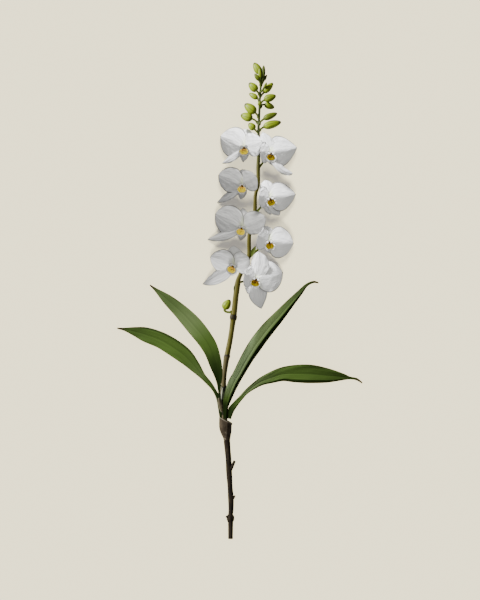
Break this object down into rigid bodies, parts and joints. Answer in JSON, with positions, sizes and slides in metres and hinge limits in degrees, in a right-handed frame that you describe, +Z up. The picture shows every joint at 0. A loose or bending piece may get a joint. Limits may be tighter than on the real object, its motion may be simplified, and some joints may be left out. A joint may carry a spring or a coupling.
{
  "type": "dendrobium orchid",
  "caption": "Cut flowering orchid stem lying down: brown cane, strap leaves, a stalk of open white blooms with gold lips, and a head of green buds at its tip.",
  "frame": {"origin": "on the surface that the stem lies on, under the middle of the stem's bounding box", "axes": "+Y along the stem towards the bud tip, +X across it to the right as seen from above, +Z up, the way that the blooms face"},
  "size_m": [0.2842, 0.5499, 0.0348],
  "materials": {
    "petal_white": "satin",
    "lip_gold": "satin",
    "leaf_green": "satin",
    "stalk_green": "satin",
    "cane_brown": "matte",
    "sheath_brown": "matte"
  },
  "bodies": {
    "root": {"cane": "cane_brown", "sheath": "sheath_brown", "leaf_left_upper": "leaf_green", "leaf_left_lower": "leaf_green", "leaf_right_upper": "leaf_green", "leaf_right_lower": "leaf_green", "flower_stalk": "stalk_green", "bloom_left_1": "petal_white", "bloom_left_2": "petal_white", "bloom_left_3": "petal_white", "bloom_left_4": "petal_white", "bloom_right_1": "petal_white", "bloom_right_2": "petal_white", "bloom_right_3": "petal_white", "bloom_right_4": "petal_white", "crest_left_1": "lip_gold", "crest_left_2": "lip_gold", "crest_left_3": "lip_gold", "crest_left_4": "lip_gold", "crest_right_1": "lip_gold", "crest_right_2": "lip_gold", "crest_right_3": "lip_gold", "crest_right_4": "lip_gold"}
  },
  "joints": []
}
